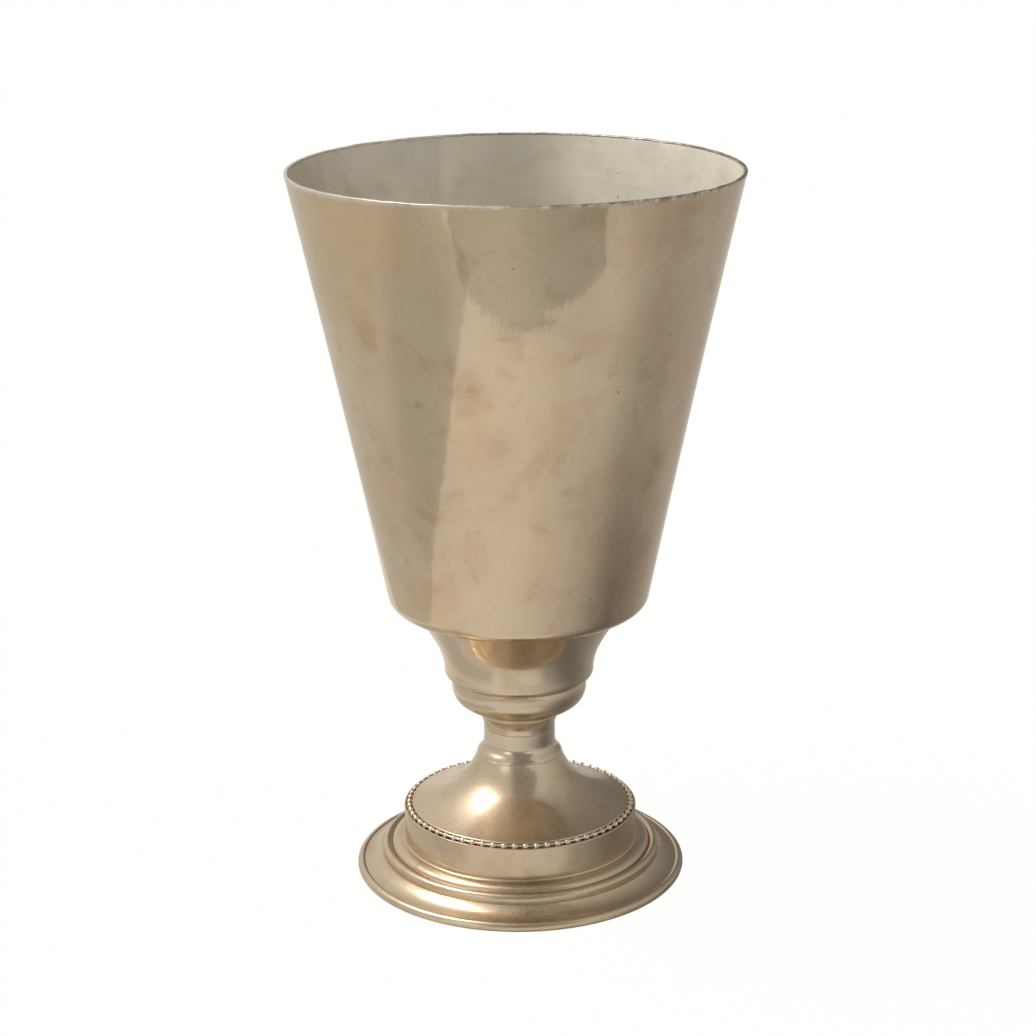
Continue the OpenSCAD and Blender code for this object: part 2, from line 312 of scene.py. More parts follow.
def plated(name, base=(0.625, 0.503, 0.358), gloss=0.06, haze=0.30, share=0.30, ripple=1.0, turned=1.0,
           pits=1.0, patina=1.0, attr=False, hollow_shade_amount=0.0):
    """Polished nickel plate over brass with a warm champagne tone, hand-buffed and a little tarnished."""
    m, t, b = new_material(name)
    co, x, y, z, r, s, cx, cy = place(t)
    # broad clouds of tarnish
    cloud = t.noise(co, 17.0, 3.0, 0.55, 0.5)
    cloud2 = t.noise(t.vec("ADD", co, (0.31, 0.17, 0.05)), 46.0, 4.0, 0.62, 0.8)
    mott = t.noise(t.vec("ADD", co, (0.07, 0.41, 0.23)), 130.0, 4.0, 0.6, 0.4)
    fine = t.noise(co, 620.0, 3.0, 0.6)
    dust = t.noise(co, 9500.0, 1.0, 0.5)
    rose = tuple(c * k for c, k in zip(base, (0.94, 0.87, 0.85)))
    gold = tuple(c * k for c, k in zip(base, (1.0, 0.955, 0.86)))
    olive = tuple(c * k for c, k in zip(base, (0.87, 0.865, 0.80)))
    brown = tuple(c * k for c, k in zip(base, (0.66, 0.57, 0.50)))
    col = t.mix(t.math("MULTIPLY", t.step(cloud, 0.44, 0.66), 0.60 * patina), base, olive)
    col = t.mix(t.math("MULTIPLY", t.step(cloud2, 0.50, 0.66), 0.80 * patina), col, rose)
    col = t.mix(t.math("MULTIPLY", t.step(cloud, 0.48, 0.30), 0.45 * patina), col, gold)
    col = t.mix(t.math("MULTIPLY", t.step(mott, 0.52, 0.74), 0.36 * patina), col, brown)
    # faint streaks where the buff has run round the piece
    ring = t.noise(t.comb(t.math("MULTIPLY", cx, 1.6), t.math("MULTIPLY", cy, 1.6),
                          t.math("MULTIPLY", s, 260.0)), 1.0, 4.0, 0.65)
    col = t.mix(t.math("MULTIPLY", t.step(ring, 0.50, 0.80), 0.16 * turned), col, olive)
    stain = None
    if attr:
        a = t.node("ShaderNodeAttribute", attribute_name="tarnish")
        ar, ag, ab = t.sep(a.outputs["Color"])
        wob = t.step(t.noise(co, 150.0, 5.0, 0.65, 1.0), 0.36, 0.66)
        col = t.mix(t.math("MULTIPLY", ar, t.mixf(wob, 0.55, 1.0), clamp=True), col, rose)
        col = t.mix(t.math("MULTIPLY", ag, t.mixf(wob, 0.6, 1.0), clamp=True), col,
                    tuple(c * k for c, k in zip(base, (1.02, 0.93, 0.79))))
        stain = t.math("MULTIPLY", ab, t.mixf(wob, 0.35, 1.0), clamp=True)
        col = t.mix(stain, col, brown)
        # the lip: pale with painted light on its left side, dark with painted shade on its right, broken up by noise
        lip = t.node("ShaderNodeAttribute", attribute_name="lip")
        lr, lip_shade, lb = t.sep(lip.outputs["Color"])
        lip_light_and_shade = t.mix(t.math("MULTIPLY", lip_shade, t.step(t.noise(co, 420.0, 4.0, 0.7), 0.34, 0.58), clamp=True),
                     (0.74, 0.69, 0.60), (0.30, 0.245, 0.18))
        col = t.mix(lr, col, lip_light_and_shade)
    # small pits with a dark floor
    vor = t.voronoi(t.vec("ADD", co, t.vec("SCALE", t.comb(fine, mott, cloud), scale=0.0016)), 150.0)
    pick = t.sep(vor.outputs["Color"])[0]
    hole = t.math("MULTIPLY", t.step(vor.outputs["Distance"], 0.085, 0.035), t.math("GREATER_THAN", pick, 0.90))
    hole = t.math("MULTIPLY", hole, pits)
    col = t.mix(t.math("MULTIPLY", hole, 0.55), col, tuple(c * 0.35 for c in base))
    # painted shade: the colour is darkened in hollows and narrow gaps, found by ambient occlusion, and the same mask
    # makes them rougher
    if hollow_shade_amount:
        ao = t.node("ShaderNodeAmbientOcclusion")
        ao.samples = 8
        ao.inputs["Distance"].default_value = 0.0014
        hollow_shade = t.step(ao.outputs["AO"], 0.70, 0.20)
        hollow_shade = t.math("MULTIPLY", hollow_shade, t.mixf(mott, hollow_shade_amount * 0.5, hollow_shade_amount), clamp=True)
        col = t.mix(hollow_shade, col, tuple(c * k for c, k in zip(base, (0.25, 0.21, 0.16))))
    t.put(b.inputs["Base Color"], col)
    b.inputs["Metallic"].default_value = 1.0
    b.inputs["Specular Tint"].default_value = (1.0, 0.97, 0.93, 1.0)
    # two finishes in one: a bright polish, broken by a dust of fine scratches that veils it
    veil = t.math("MULTIPLY", t.step(dust, 0.60 - 0.28 * share, 0.66 - 0.28 * share), t.mixf(cloud2, 0.7, 1.3), clamp=True)
    rg = t.mixf(veil, gloss, haze)
    rg = t.math("ADD", rg, t.math("MULTIPLY", t.step(cloud2, 0.45, 0.75), 0.03))
    rg = t.math("ADD", rg, t.math("MULTIPLY", hole, 0.3), clamp=True)
    if stain is not None:
        rg = t.math("ADD", rg, t.math("MULTIPLY", stain, 0.10), clamp=True)
        rg = t.mixf(lr, rg, 0.38)
    if hollow_shade_amount:
        rg = t.math("ADD", rg, t.math("MULTIPLY", hollow_shade, 0.3), clamp=True)
    t.put(b.inputs["Roughness"], rg)
    # relief: slow unevenness of the sheet, orange peel, turning marks, hairlines, pits
    peel = t.noise(co, 230.0, 3.0, 0.55, 0.4)
    slow = t.noise(co, 62.0, 2.0, 0.5, 0.2)
    n = t.bump(slow, 0.000030 * ripple, 1.0)
    n = t.bump(peel, 0.0000085 * ripple, 1.0, n)
    lines = t.noise(t.comb(t.math("MULTIPLY", cx, 5.0), t.math("MULTIPLY", cy, 5.0),
                           t.math("MULTIPLY", s, 3600.0)), 1.0, 2.0, 0.6)
    n = t.bump(lines, 0.0000007 * turned, 1.0, n)
    hair = t.noise(t.comb(t.math("MULTIPLY", x, 900.0), t.math("MULTIPLY", y, 900.0),
                          t.math("ADD", t.math("MULTIPLY", z, 8000.0), t.math("MULTIPLY", x, 2500.0))), 1.0, 1.0, 0.5)
    n = t.bump(t.step(hair, 0.66, 0.74), 0.0000010, 1.0, n)
    n = t.bump(t.math("MULTIPLY", hole, -1.0), 0.00006, 1.0, n)
    t.put(b.inputs["Normal"], n)
    return m


def lining(name):
    """Matte pale tinned lining, wiped on by hand: soft mottling, drag marks and small dark specks."""
    m, t, b = new_material(name)
    co, x, y, z, r, s, cx, cy = place(t)
    cloud = t.noise(co, 24.0, 4.0, 0.55, 0.6)
    mott = t.noise(co, 110.0, 4.0, 0.6, 0.4)
    grain = t.noise(co, 900.0, 3.0, 0.6)
    drag = t.noise(t.comb(t.math("MULTIPLY", cx, 3.0), t.math("MULTIPLY", cy, 3.0),
                          t.math("MULTIPLY", s, 420.0)), 1.0, 4.0, 0.6)
    base = (0.810, 0.735, 0.605)
    col = t.mix(t.step(cloud, 0.35, 0.68), base, (0.700, 0.640, 0.515))
    col = t.mix(t.math("MULTIPLY", t.step(mott, 0.48, 0.74), 0.45), col, (0.580, 0.510, 0.390))
    col = t.mix(t.math("MULTIPLY", t.step(drag, 0.48, 0.75), 0.30), col, (0.86, 0.79, 0.66))
    # painted light and shade: the lining is made brighter towards the right and darker on the left, with a soft shadow
    # edge at about x = -21 mm
    tone = t.mix(t.step(x, -0.004, 0.046), t.mix(t.step(x, -0.0226, -0.0198), (0.83, 0.84, 0.855), (0.95, 0.96, 0.97)),
                 (1.21, 1.25, 1.31))
    col = t.mix(1.0, col, tone, "MULTIPLY")
    vor = t.voronoi(co, 240.0)
    spot = t.math("MULTIPLY", t.step(vor.outputs["Distance"], 0.13, 0.05),
                  t.math("GREATER_THAN", t.sep(vor.outputs["Color"])[0], 0.93))
    col = t.mix(t.math("MULTIPLY", spot, 0.6), col, (0.20, 0.17, 0.13))
    t.put(b.inputs["Base Color"], col)
    b.inputs["Metallic"].default_value = 0.55
    t.put(b.inputs["Roughness"], t.mixf(mott, 0.40, 0.56))
    n = t.bump(cloud, 0.00016, 1.0)
    n = t.bump(mott, 0.00003, 1.0, n)
    n = t.bump(drag, 0.000008, 1.0, n)
    n = t.bump(grain, 0.0000035, 1.0, n)
    n = t.bump(t.math("MULTIPLY", spot, -1.0), 0.00004, 1.0, n)
    t.put(b.inputs["Normal"], n)
    return m


def plain_metal(name, base, dark, rough, lines=1.0, blotch=0.6, grain=1.0):
    """Unplated turned metal: oxidised in clouds, with clear tool marks."""
    m, t, b = new_material(name)
    co, x, y, z, r, s, cx, cy = place(t)
    cloud = t.noise(co, 70.0, 4.0, 0.6, 0.7)
    mott = t.noise(co, 420.0, 4.0, 0.65, 0.3)
    tool = t.noise(t.comb(t.math("MULTIPLY", cx, 2.5), t.math("MULTIPLY", cy, 2.5),
                          t.math("MULTIPLY", s, 2600.0)), 1.0, 3.0, 0.6)
    col = t.mix(t.math("MULTIPLY", t.step(cloud, 0.38, 0.68), blotch), base, dark)
    col = t.mix(t.math("MULTIPLY", t.step(mott, 0.55, 0.80), 0.5), col, tuple(c * 0.55 for c in dark))
    col = t.mix(t.math("MULTIPLY", t.step(tool, 0.50, 0.75), 0.25), col, tuple(min(1.0, c * 1.25) for c in base))
    # painted shade: the colour is darkened in hollows and narrow gaps, found by ambient occlusion
    ao = t.node("ShaderNodeAmbientOcclusion")
    ao.samples = 8
    ao.inputs["Distance"].default_value = 0.003
    col = t.mix(t.math("MULTIPLY", t.step(ao.outputs["AO"], 0.85, 0.3), 0.6), col, tuple(c * 0.3 for c in dark))
    t.put(b.inputs["Base Color"], col)
    b.inputs["Metallic"].default_value = 1.0
    rg = t.mixf(t.step(cloud, 0.35, 0.7), rough, min(1.0, rough + 0.18))
    t.put(b.inputs["Roughness"], t.math("ADD", rg, t.math("MULTIPLY", mott, 0.08), clamp=True))
    n = t.bump(mott, 0.000012 * grain, 1.0)
    n = t.bump(tool, 0.000005 * lines, 1.0, n)
    t.put(b.inputs["Normal"], n)
    return m


def fibre(name):
    """Pressed fibre washer: short matted strands, matte, dark red-brown."""
    m, t, b = new_material(name)
    co = t.node("ShaderNodeTexCoord").outputs["Object"]
    strand = t.noise(t.vec("MULTIPLY", co, (1.0, 3.5, 6.0)), 900.0, 5.0, 0.7, 1.5)
    cloud = t.noise(co, 160.0, 3.0, 0.6)
    col = t.mix(t.step(strand, 0.35, 0.7), (0.115, 0.038, 0.022), (0.235, 0.090, 0.050))
    col = t.mix(t.math("MULTIPLY", cloud, 0.4), col, (0.08, 0.035, 0.02))
    t.put(b.inputs["Base Color"], col)
    b.inputs["Roughness"].default_value = 0.86
    t.put(b.inputs["Normal"], t.bump(strand, 0.00005, 1.0))
    return m


M_BOWL = plated("plated_bowl", gloss=0.04, haze=0.28, share=0.16, ripple=1.3, turned=0.7, patina=1.15, attr=True)
M_CALYX = plated("plated_calyx", base=(0.62, 0.515, 0.385), gloss=0.095, haze=0.32, share=0.4, ripple=0.9, turned=1.2, pits=0.6, hollow_shade_amount=0.3)
M_FOOT = plated("plated_foot", gloss=0.115, haze=0.38, share=0.60, ripple=0.9, turned=1.2, pits=0.5, hollow_shade_amount=0.22)
# painted highlight: the pearls' plate gets a paler base than the same plate elsewhere, so that they shine brighter
M_PEARL_BRIGHTENED = plated("plated_pearls", base=(0.78, 0.69, 0.56), gloss=0.20, haze=0.36, share=0.4, ripple=0.5, turned=0.0, pits=0.0, hollow_shade_amount=0.35)
M_LINING = lining("tinned_lining")
M_BRASS = plain_metal("bare_brass", (0.52, 0.33, 0.12), (0.20, 0.12, 0.05), 0.34)
M_STEEL = plain_metal("zinc_steel", (0.42, 0.42, 0.41), (0.17, 0.16, 0.15), 0.36, lines=0.7)
M_FIBRE = fibre("pressed_fibre")

# --------------------------------------------- sizes, some from the CAD frame, the rest given in mm
def top(n):
    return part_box(n)[1].z / MM


def bottom(n):
    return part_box(n)[0].z / MM


def radius(n):
    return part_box(n)[1].x / MM


total_h = top("bowl_shell")
bowl_z = bottom("bowl_shell")
rim_r = 61.2
base_r, bowl_corner, bowl_bow = 36.3, 4.6, 0.055
shell_t, liner_t, eps, lip_t = 0.62, 0.40, 0.03, 0.50
seat_t = top("seat_washer") - bottom("seat_washer")
calyx_z = top("calyx_upper")
calyx_r = 29.5
waist_r = 20.9
joint_z = bottom("calyx_upper")
neck_r = 10.0
shoulder_z = top("stem_flare")
drum_r = 32.9
drum_top = bottom("stem_flare")
clear_r = 4.4
foot_r = 46.5
stud_r = radius("tie_stud")

# -------------------------------------------------------------------- bowl
lean = math.atan((rim_r - base_r) / (total_h - bowl_z - bowl_corner) * (1 - bowl_bow))
wall_z = bowl_z + bowl_corner * (1 - math.sin(lean))
corner = (base_r - bowl_corner * math.cos(lean), bowl_z + bowl_corner)


def wall_r(s):
    return base_r + (rim_r - base_r) * (s - bowl_bow * s * (1 - s))


bowl_out = arc(corner, bowl_corner, -90, -math.degrees(lean), 20) + \
    [(wall_r(i / 84), wall_z + (total_h - wall_z) * i / 84) for i in range(1, 85)]


LIFT = 1.2


def bowl_warp(amount_lip=0.0):
    """The sheet's slow unevenness, shared by shell and lining so that they stay nested."""
    def f(r, z, t):
        c, s = math.cos(t), math.sin(t)
        k = min(1.0, max(0.0, (z - bowl_z - 1.5) / 12.0)) * min(1.0, r / 20.0)
        d = 0.035 * swell(c * 34, s * 34, z * 0.55, 17.0, 2) + 0.010 * swell(c * 45 + 90, s * 45, z, 7.0, 2)
        d += 0.10 * math.cos(2 * (t + 0.4)) * ((z - bowl_z) / 121.0)
        r2 = r + k * d
        # the lip is not quite level: it rises at the front
        up = max(0.0, (z - 150.0) / 50.0)
        z = z + LIFT * up * up * max(0.0, -s) ** 1.5
        if amount_lip:
            e = min(1.0, max(0.0, (z - (total_h - 1.4)) / 1.2))
            if e > 0:
                w = swell(c * 61.0, s * 61.0, 40.0, 5.5, 3)
                w2 = swell(c * 61.0, s * 61.0, 90.0, 1.7, 2)
                z = z + e * amount_lip * (0.12 * w + 0.07 * w2 - 0.04)
                r2 = r2 + e * amount_lip * 0.06 * swell(c * 61.0, s * 61.0, 140.0, 2.6, 2)
        return r2, z
    return f


shell_up = below(bowl_out, total_h - 0.35)
shell_in = below(beside(bowl_out, shell_t), total_h - lip_t)
liner_out = below(beside(bowl_out, shell_t + eps), total_h - lip_t - eps)
liner_in = below(beside(bowl_out, shell_t + eps + liner_t), total_h - lip_t - eps)
lip_r = liner_in[-1][0]
shell = [(0, bowl_z)] + [(r, bowl_z) for r in (8, 16, 24)] + shell_up + \
    [(rim_r + 0.02, total_h - 0.2), (rim_r - 0.10, total_h - 0.05), (rim_r - 0.35, total_h), (lip_r + 0.35, total_h),
     (lip_r + 0.12, total_h - 0.05), (lip_r + 0.01, total_h - 0.2), (lip_r, total_h - lip_t)] + flip(shell_in) + \
    [(r, bowl_z + shell_t) for r in (24, 16, 8)] + [(0, bowl_z + shell_t)]
bowl_shell = lathe("bowl_spun_shell", soften(tidy(shell, False), 0.14, False, 18), False, 384, bowl_warp(1.0))

# soft patches of tarnish over the outside: angle (0 at the front, degrees), height and size in mm,
# strength, and which of rose, gold and brown it is
PATCHES = [
    (-40, 193, 22, 12, 1.0, 1), (-47, 165, 9, 9, 0.55, 1), (-47, 163, 3.5, 5, 0.55, 2), (-52, 180, 16, 24, 0.5, 1),
    (-14, 151, 4, 5, 0.8, 2), (-14, 142, 6, 10, 0.9, 1), (-9, 131, 9, 8, 0.7, 0), (11, 141, 9, 6, 0.8, 0),
    (31, 190, 8, 8, 0.8, 0), (37, 178, 3.0, 14, 0.6, 0), (35, 128, 9, 8, 0.7, 0), (30, 108, 9, 11, 0.9, 0),
    (1, 117, 12, 5, 0.6, 0), (10, 96, 9, 8, 0.7, 0), (-43, 88, 14, 3, 0.6, 1), (47, 191, 6, 9, 0.5, 2),
    (16.5, 161.3, 1.1, 1.2, 0.9, 2), (-3.6, 166.3, 1.6, 0.6, 0.8, 2), (-7.9, 148, 0.8, 0.8, 0.8, 2),
    (-30.7, 146.9, 1.6, 0.9, 0.9, 2), (-17.5, 146.7, 1.5, 1.8, 0.7, 2), (-27, 158, 7, 4, 0.35, 2),
    (44, 151, 2.2, 9, 0.40, 2), (50, 124, 3.5, 9, 0.45, 2), (54, 98, 9, 14, 0.45, 2), (-19, 158, 2.5, 3.5, 0.5, 2),
    (24, 135, 20, 3, 0.25, 0), (-30, 118, 10, 16, 0.30, 2), (120, 150, 14, 20, 0.8, 0), (150, 110, 16, 10, 0.7, 1),
    (-150, 170, 18, 12, 0.8, 0), (-120, 120, 9, 22, 0.6, 2), (180, 180, 20, 10, 0.6, 1), (-165, 95, 14, 8, 0.6, 2),
    (64, 118, 13, 34, 0.75, 0), (78, 150, 16, 34, 0.55, 0), (50, 100, 9, 18, 0.40, 2), (46, 168, 8, 16, 0.35, 2),
    (14, 104, 16, 9, 0.55, 0), (4, 128, 14, 4, 0.35, 2), (22, 118, 8, 6, 0.45, 2), (-6, 137, 5, 4, 0.5, 2),
    (43, 176, 3.2, 12, 0.9, 0), (47, 152, 2.6, 10, 0.6, 2), (53, 126, 4.5, 4, 0.8, 2), (52, 121, 4, 1.3, 0.9, 2),
    (85, 175, 8, 14, 0.6, 1), (95, 120, 12, 12, 0.6, 0), (-85, 150, 9, 14, 0.5, 0), (140, 184, 5, 6, 0.6, 2),
]


def paint_tarnish_and_lip_shade(ob):
    me = ob.data
    at = me.attributes.new("tarnish", "FLOAT_COLOR", "POINT")
    vals, lips = [], []
    for v in me.vertices:
        x, y, z = v.co.x / MM, v.co.y / MM, v.co.z / MM
        r = math.hypot(x, y)
        a = math.degrees(math.atan2(x, -y))
        wx = 3.0 * swell(x, y, z, 9.0, 3)
        wz = 3.0 * swell(x + 70, y, z, 9.0, 3)
        c = [0.0, 0.0, 0.0]
        for (pa, pz, sx, sz, k, ch) in PATCHES:
            da = (a - pa + 180) % 360 - 180
            q = min(1.0, min(sx, sz) / 6.0)
            u = (math.radians(da) * r + wx * q) / sx
            w = (z - pz + wz * q) / sz
            d = u * u + w * w
            if d < 6.0:
                c[ch] = max(c[ch], k * math.exp(-d))
        vals += [c[0], c[1], c[2], 1.0]
        # how much of the lip this point is, and how dark it is painted: painted light on the left of the lip, painted
        # shade on the right, darkest at the right front, broken up by noise
        fc = max(0.0, math.cos(math.radians(a)))
        up = max(0.0, (z - 150.0) / 50.0)
        z0 = z - LIFT * up * up * fc ** 1.5
        k = min(1.0, max(0.0, (z0 - (total_h - 0.62 + 0.22 * swell(x, y, 11.0, 2.2, 2))) / 0.2))
        sn = math.sin(math.radians(a))
        dark = 0.5 + 1.1 * max(0.0, sn) * (0.35 + 0.65 * fc) - 0.75 * max(0.0, -sn) + 0.45 * swell(x + 31, y, 5.0, 4.0, 3)
        if fc == 0.0:
            dark += 0.15
        lips += [k, min(1.0, max(0.0, dark)), 0.0, 1.0]
    at.data.foreach_set("color", vals)
    al = me.attributes.new("lip", "FLOAT_COLOR", "POINT")
    al.data.foreach_set("color", lips)


paint_tarnish_and_lip_shade(bowl_shell)
put(bowl_shell, "cup", M_BOWL, "polished_nickel", "bowl_shell")

liner = [(0, bowl_z + shell_t + eps)] + liner_out + flip(liner_in) + [(0, bowl_z + shell_t + eps + liner_t)]
bowl_liner = lathe("bowl_tinned_lining", soften(tidy(liner, False), 0.1, False, 30), False, 384, bowl_warp(1.0))
put(bowl_liner, "cup", M_LINING, "tinned_lining", "bowl_liner")

# ------------------------------------------------------- boss, seat, calyx
boss_h = 8.2
boss = [(3.97, bowl_z - 1.2), (3.97, bowl_z - boss_h), (8.4, bowl_z - boss_h), (9, bowl_z - boss_h + 0.6),
        (9, bowl_z - 3.5), (10, bowl_z - 2.5), (15.5, bowl_z - 2.5), (16, bowl_z - 2), (16, bowl_z - 0.5),
        (15.5, bowl_z), (0, bowl_z), (0, bowl_z - 1.2)]
put(lathe("bowl_soldered_boss", soften(tidy(boss, False), 0.25, False, 30), False, 128),
    "cup", M_BRASS, "bare_brass", "bowl_boss")

seat = [(calyx_r - 3.6, calyx_z), (calyx_r - 0.6, calyx_z), (calyx_r - 0.55, calyx_z + seat_t / 2),
        (calyx_r - 0.6, calyx_z + seat_t), (calyx_r - 3.6, calyx_z + seat_t)]
put(lathe("calyx_fibre_seat", soften(seat, 0.1, True, 30), True, 192), "stand", M_FIBRE, "seat_fibre", "seat_washer")

rise = curve((waist_r, joint_z + 3.0), (waist_r + 0.25, joint_z + 8.2), (waist_r + 2.9, joint_z + 12.6),
             (calyx_r - 0.1, calyx_z - 0.25), 48)
wall = beside(rise, 0.8)
upper = [(clear_r, joint_z), (waist_r - 2.3, joint_z)] + arc((waist_r - 2.6, joint_z + 2.6), 2.6, -78, -8, 16) + rise + \
    [(calyx_r - 0.2, calyx_z), (calyx_r - 3.6, calyx_z), (calyx_r - 3.6, calyx_z - 0.8)] + \
    flip([q for q in wall if q[1] < calyx_z - 1.6]) + \
    [(waist_r - 1.1, joint_z + 2.2), (waist_r - 2.0, joint_z + 1.0), (waist_r - 2.7, joint_z + 0.8),
     (clear_r, joint_z + 0.8)]


def hand(amount, size, seed):
    """A hand-finished piece is never quite round or straight."""
    def f(r, z, t):
        c, s = math.cos(t), math.sin(t)
        d = amount * swell(c * 20 + seed, s * 20, z, size, 2)
        return r + d * min(1.0, r / 12.0), z
    return f


put(lathe("calyx_flared_cup", soften(tidy(upper, True), 0.2, True, 26), True, SEG, hand(0.03, 9.0, 11)),
    "stand", M_CALYX, "polished_nickel", "calyx_upper")

lower_z = bottom("calyx_lower")
low = curve((neck_r + 2.6, lower_z + 0.05), (waist_r - 2.1, lower_z + 1.3), (waist_r - 1.6, lower_z + 5.6),
            (waist_r - 2.25, joint_z - 0.1), 32)
low_in = beside(low, 0.8)
lower = [(6.53, lower_z), (neck_r + 2.0, lower_z)] + low + \
    [(waist_r - 2.4, joint_z), (waist_r - 3.2, joint_z)] + \
    flip([q for q in low_in if lower_z + 0.8 < q[1] < joint_z - 0.2]) + [(6.53, lower_z + 0.8)]
put(lathe("calyx_rounded_base", soften(tidy(lower, True), 0.15, True, 26), True, SEG, hand(0.025, 8.0, 31)),
    "stand", M_CALYX, "polished_nickel", "calyx_lower")

collar_z = bottom("calyx_collar")
bead_z = lower_z - 1.55
collar = [(7.53, collar_z), (neck_r, collar_z)] + \
    curve((neck_r, collar_z + 0.3), (neck_r + 0.05, collar_z + 1.9), (neck_r + 0.5, collar_z + 2.8),
          (neck_r + 1.1, bead_z - 0.4), 14) + \
    arc((neck_r + 0.98, bead_z), 0.4, -50, 50, 8) + \
    [(neck_r + 1.25, bead_z + 0.55), (neck_r + 1.65, lower_z - 0.55), (neck_r + 1.95, lower_z - 0.2),
     (neck_r + 1.95, lower_z), (6.5, lower_z), (6.5, lower_z + 1.1), (6.2, lower_z + 1.4), (clear_r, lower_z + 1.4),
     (clear_r, collar_z + 1.7), (7.53, collar_z + 1.7)]
put(lathe("calyx_beaded_collar", soften(tidy(collar, True), 0.2, True, 20), True, 192),
    "stand", M_CALYX, "polished_nickel", "calyx_collar")

neck = [(6, shoulder_z - 1.8), (7.2, shoulder_z - 1.8), (7.5, shoulder_z - 1.5), (7.5, shoulder_z),
        (neck_r + 1.9, shoulder_z)] + \
    curve((neck_r + 1.97, shoulder_z + 0.05), (neck_r + 1.70, shoulder_z + 1.0), (neck_r + 1.05, shoulder_z + 1.35),
          (neck_r + 0.50, shoulder_z + 2.1), 14) + \
    curve((neck_r + 0.36, shoulder_z + 2.35), (neck_r + 0.12, shoulder_z + 2.9), (neck_r, shoulder_z + 3.5),
          (neck_r, shoulder_z + 4.5), 8) + \
    [(neck_r, collar_z), (7.5, collar_z), (7.5, collar_z + 1.3), (7.2, collar_z + 1.6), (6, collar_z + 1.6)]
put(lathe("neck_spread_tube", soften(tidy(neck, True), 0.12, True, 22), True, 192),
    "stand", M_CALYX, "polished_nickel", "neck_tube")

# -------------------------------------------------------------- foot dome
pearl_r = (top("beaded_wire") - bottom("beaded_wire")) / 2
shelf_h = 0.7
skirt_r = drum_r - 0.54 - 2 * pearl_r
flare = curve((neck_r + 2.03, shoulder_z - 0.4), (neck_r + 3.8, shoulder_z - 6.0), (18.2, drum_top + 6.3),
              (skirt_r - 0.45, drum_top + 2.15), 64)
under = beside(flare, -0.8)
dome = [(7.53, shoulder_z), (neck_r + 1.88, shoulder_z), (neck_r + 1.98, shoulder_z - 0.1)] + flare + \
    arc((skirt_r - 0.5, drum_top + 1.65), 0.5, 70, 0, 8) + \
    [(skirt_r, drum_top), (skirt_r - 0.8, drum_top)] + \
    flip([q for q in under if q[1] < shoulder_z - 1.4 and q[0] < skirt_r - 1.1]) + \
    [(10.4, shoulder_z - 0.9), (7.53, shoulder_z - 0.9), (7.53, shoulder_z)]
put(lathe("foot_flared_dome", soften(flip(tidy(dome, True)), 0.12, True, 30), True, SEG, hand(0.03, 10.0, 51)),
    "stand", M_FOOT, "polished_nickel", "stem_flare")

# beaded wire: pearls a little unequal, joined by a fine wire
PEARLS = 66
pc = drum_r - 0.52 - pearl_r
pz = (top("beaded_wire") + bottom("beaded_wire")) / 2
verts, faces = [], []


def add_mesh(vs, fs):
    o = len(verts)
    verts.extend(vs)
    faces.extend([tuple(i + o for i in f) for f in fs])


def ball(c, rx, ry, rz, turn, nu=20, nv=12):
    vs = [(0, 0, -1)]
    for i in range(1, nv):
        a = -math.pi / 2 + math.pi * i / nv
        for j in range(nu):
            b = 2 * math.pi * j / nu
            vs.append((math.cos(a) * math.cos(b), math.cos(a) * math.sin(b), math.sin(a)))
    vs.append((0, 0, 1))
    fs = []
    for j in range(nu):
        fs.append((0, 1 + (j + 1) % nu, 1 + j))
        for i in range(nv - 2):
            a = 1 + i * nu
            fs.append((a + j, a + (j + 1) % nu, a + nu + (j + 1) % nu, a + nu + j))
        fs.append((len(vs) - 1, 1 + (nv - 2) * nu + j, 1 + (nv - 2) * nu + (j + 1) % nu))
    ca, sa = math.cos(turn), math.sin(turn)
    out = []
    for (x, y, z) in vs:
        x, y, z = x * rx, y * ry, z * rz
        out.append((c[0] + x * ca - y * sa, c[1] + x * sa + y * ca, c[2] + z))
    return out, fs


for i in range(PEARLS):
    a = 2 * math.pi * i / PEARLS
    k = 1.0 - 0.035 * abs(noise.noise(Vector((i * 3.7, 1.3, 0.2))))
    rx = pearl_r * k
    add_mesh(*ball(((pc - 0.12) * math.cos(a), (pc - 0.12) * math.sin(a), pz - 0.20 - pearl_r * (1 - k)), rx, rx * 1.14, rx, a))
nt, ns = 396, 12
vs, fs = [], []
for i in range(nt):
    a = 2 * math.pi * i / nt
    # the wire is drawn in between the pearls
    w = 0.34 - 0.04 * (0.5 - 0.5 * math.cos(PEARLS * a))
    for j in range(ns):
        b = 2 * math.pi * j / ns
        rr = pc + w * math.cos(b)
        vs.append((rr * math.cos(a), rr * math.sin(a), pz + w * math.sin(b)))
for i in range(nt):
    for j in range(ns):
        i2, j2 = (i + 1) % nt, (j + 1) % ns
        fs.append((i * ns + j, i2 * ns + j, i2 * ns + j2, i * ns + j2))
add_mesh(vs, fs)
put(mesh_object("foot_pearl_wire", verts, faces), "stand", M_PEARL_BRIGHTENED, "polished_nickel", "beaded_wire")

